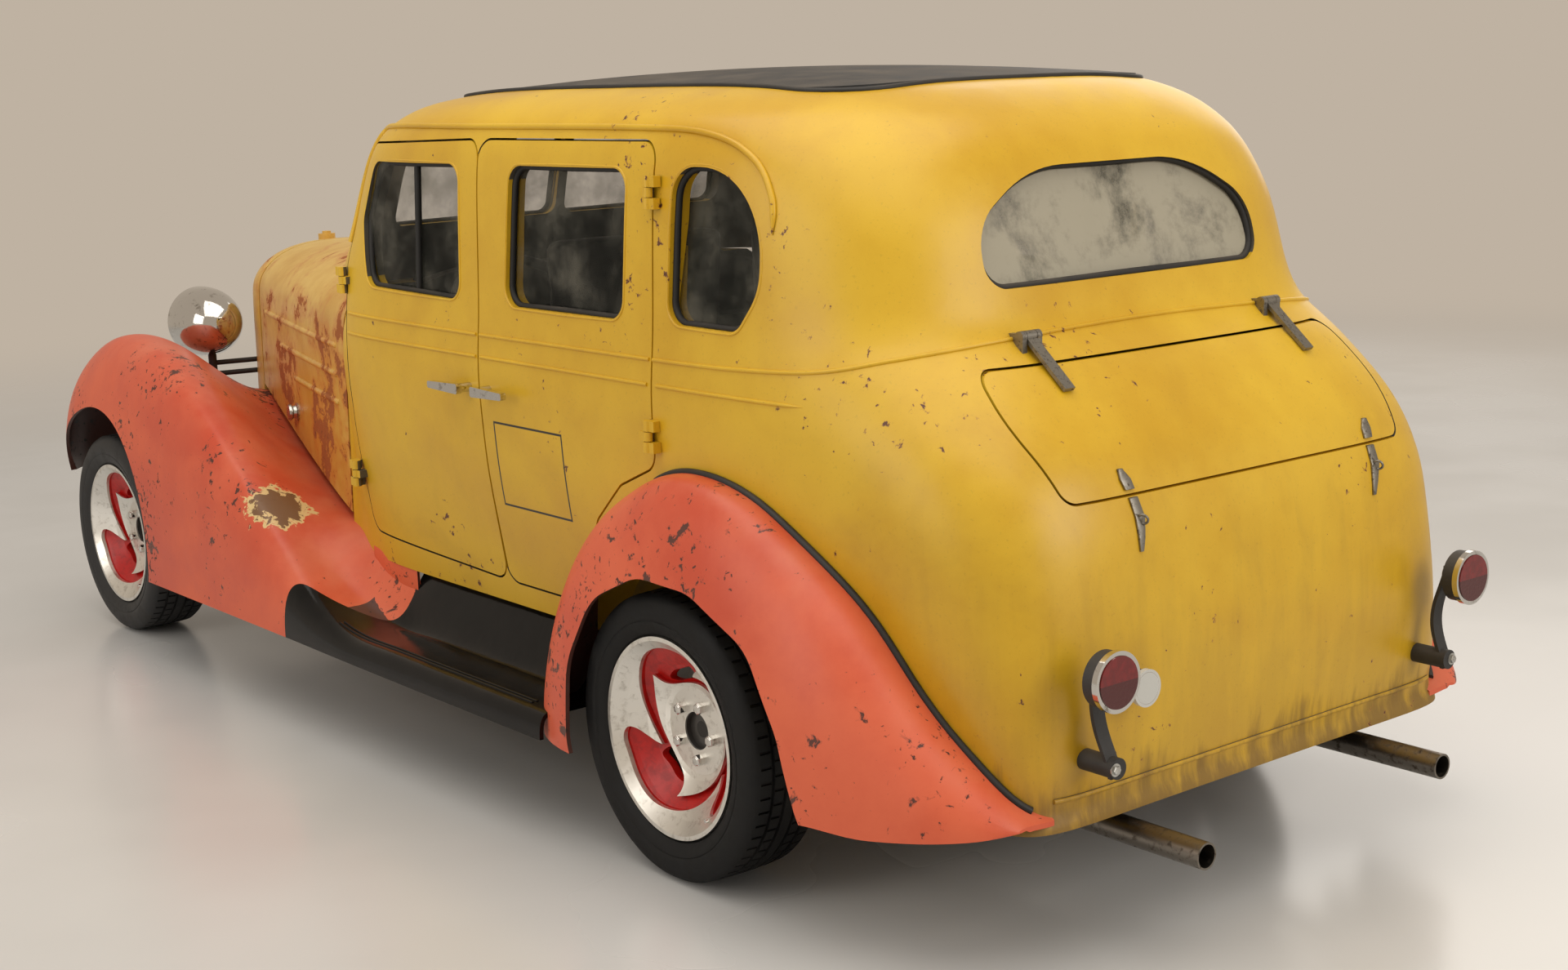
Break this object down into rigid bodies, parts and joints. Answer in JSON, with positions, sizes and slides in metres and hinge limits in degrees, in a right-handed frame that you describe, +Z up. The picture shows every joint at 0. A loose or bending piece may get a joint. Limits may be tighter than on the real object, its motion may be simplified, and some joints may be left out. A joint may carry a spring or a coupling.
{
  "type": "vintage taxi cab",
  "caption": "Old four-door sedan taxi with separate fenders, running boards, opening doors, hood halves and trunk lid, steered front wheels and turning wheels.",
  "frame": {"origin": "centre of the bounding box at the height of the ground under the tyres", "axes": "+X forward along the car, +Y to the left of the driver, +Z up"},
  "size_m": [4.336, 1.7528, 1.6319],
  "materials": {
    "body_yellow": "satin",
    "roof_black": "matte",
    "window_glass": "gloss",
    "bright_metal": "gloss",
    "dark_iron": "matte",
    "fender_coral": "satin",
    "trim_black": "gloss",
    "chassis_black": "matte",
    "exhaust_steel": "satin",
    "seat_vinyl": "satin",
    "red_lens": "gloss",
    "clear_lens": "gloss",
    "weathered_metal": "matte",
    "tyre_rubber": "matte",
    "rim_alloy": "satin"
  },
  "bodies": {
    "body": {"body_shell": "body_yellow", "roof_insert": "roof_black", "body_glass": "window_glass", "door_hinges": "body_yellow", "hood_rod": "body_yellow", "radiator_shell": "body_yellow", "grille_bars": "bright_metal", "radiator_core": "dark_iron", "engine_block": "dark_iron", "front_fenders": "fender_coral", "rear_fenders": "fender_coral", "running_boards": "trim_black", "frame_rails": "chassis_black", "front_axle": "chassis_black", "rear_axle": "chassis_black", "leaf_springs": "chassis_black", "fuel_tank": "chassis_black", "exhaust_pipes": "exhaust_steel", "front_seats": "seat_vinyl", "rear_seat": "seat_vinyl", "dashboard": "trim_black", "headlamp_bowls": "bright_metal", "headlamp_brackets": "trim_black", "tail_lamp_stands": "trim_black", "tail_lamp_rims": "bright_metal", "tail_lamp_lenses": "red_lens", "clear_lenses": "clear_lens", "trunk_hinges": "weathered_metal"},
    "trunk_lid": {"trunk_lid": "body_yellow", "lid_straps": "weathered_metal"},
    "door_front_left": {"door_front_left": "body_yellow", "glass_front_left": "window_glass", "handle_front_left": "bright_metal"},
    "door_rear_left": {"door_rear_left": "body_yellow", "glass_rear_left": "window_glass", "handle_rear_left": "bright_metal"},
    "hood_left": {"hood_left": "body_yellow"},
    "knuckle_left": {"knuckle_left": "chassis_black"},
    "wheel_front_left": {"tyre_front_left": "tyre_rubber", "rim_front_left": "rim_alloy"},
    "wheel_rear_left": {"tyre_rear_left": "tyre_rubber", "rim_rear_left": "rim_alloy"},
    "door_front_right": {"door_front_right": "body_yellow", "glass_front_right": "window_glass", "handle_front_right": "bright_metal"},
    "door_rear_right": {"door_rear_right": "body_yellow", "glass_rear_right": "window_glass", "handle_rear_right": "bright_metal"},
    "hood_right": {"hood_right": "body_yellow"},
    "knuckle_right": {"knuckle_right": "chassis_black"},
    "wheel_front_right": {"tyre_front_right": "tyre_rubber", "rim_front_right": "rim_alloy"},
    "wheel_rear_right": {"tyre_rear_right": "tyre_rubber", "rim_rear_right": "rim_alloy"},
    "steering_wheel": {"steering_wheel": "trim_black"}
  },
  "joints": [
    {"name": "door_front_left_swing", "type": "hinge", "parent": "body", "child": "door_front_left", "pos_m": [0.3465, 0.69611, 0.8955], "axis": [0, 0, -1], "range_deg": [0, 65]},
    {"name": "door_front_right_swing", "type": "hinge", "parent": "body", "child": "door_front_right", "pos_m": [0.3465, -0.69611, 0.8955], "axis": [0, 0, 1], "range_deg": [0, 65]},
    {"name": "door_rear_left_swing", "type": "hinge", "parent": "body", "child": "door_rear_left", "pos_m": [-1.0165, 0.71858, 1.1485], "axis": [0, -0.0556, 0.9985], "range_deg": [0, 65]},
    {"name": "door_rear_right_swing", "type": "hinge", "parent": "body", "child": "door_rear_right", "pos_m": [-1.0165, -0.71858, 1.1485], "axis": [0, -0.0556, -0.9985], "range_deg": [0, 65]},
    {"name": "hood_left_lift", "type": "hinge", "parent": "body", "child": "hood_left", "pos_m": [0.565, 0, 1.196], "axis": [0.9987, 0, -0.0519], "range_deg": [0, 50]},
    {"name": "hood_right_lift", "type": "hinge", "parent": "body", "child": "hood_right", "pos_m": [0.565, 0, 1.196], "axis": [-0.9987, 0, 0.0519], "range_deg": [0, 50]},
    {"name": "trunk_lid_lift", "type": "hinge", "parent": "body", "child": "trunk_lid", "pos_m": [-1.728, 0, 1.122], "axis": [0, 1, 0], "range_deg": [0, 70]},
    {"name": "steer_left", "type": "hinge", "parent": "body", "child": "knuckle_left", "pos_m": [1.73, 0.56, 0.303], "axis": [0, 0, 1], "range_deg": [-30, 30]},
    {"name": "steer_right", "type": "hinge", "parent": "body", "child": "knuckle_right", "pos_m": [1.73, -0.56, 0.303], "axis": [0, 0, 1], "range_deg": [-30, 30]},
    {"name": "steering_wheel_turn", "type": "hinge", "parent": "body", "child": "steering_wheel", "pos_m": [0.095, 0.33, 0.985], "axis": [-0.788, 0, 0.6157], "range_deg": [-450, 450]},
    {"name": "wheel_front_left_spin", "type": "hinge", "parent": "knuckle_left", "child": "wheel_front_left", "pos_m": [1.73, 0.724, 0.303], "axis": [0, 1, 0], "continuous": true},
    {"name": "wheel_front_right_spin", "type": "hinge", "parent": "knuckle_right", "child": "wheel_front_right", "pos_m": [1.73, -0.724, 0.303], "axis": [0, 1, 0], "continuous": true},
    {"name": "wheel_rear_left_spin", "type": "hinge", "parent": "body", "child": "wheel_rear_left", "pos_m": [-1.14, 0.724, 0.303], "axis": [0, 1, 0], "continuous": true},
    {"name": "wheel_rear_right_spin", "type": "hinge", "parent": "body", "child": "wheel_rear_right", "pos_m": [-1.14, -0.724, 0.303], "axis": [0, 1, 0], "continuous": true}
  ],
  "couplings": [
    {"joint": "steer_right", "follows": "steer_left", "ratio": 1},
    {"joint": "steering_wheel_turn", "follows": "steer_left", "ratio": 15}
  ]
}
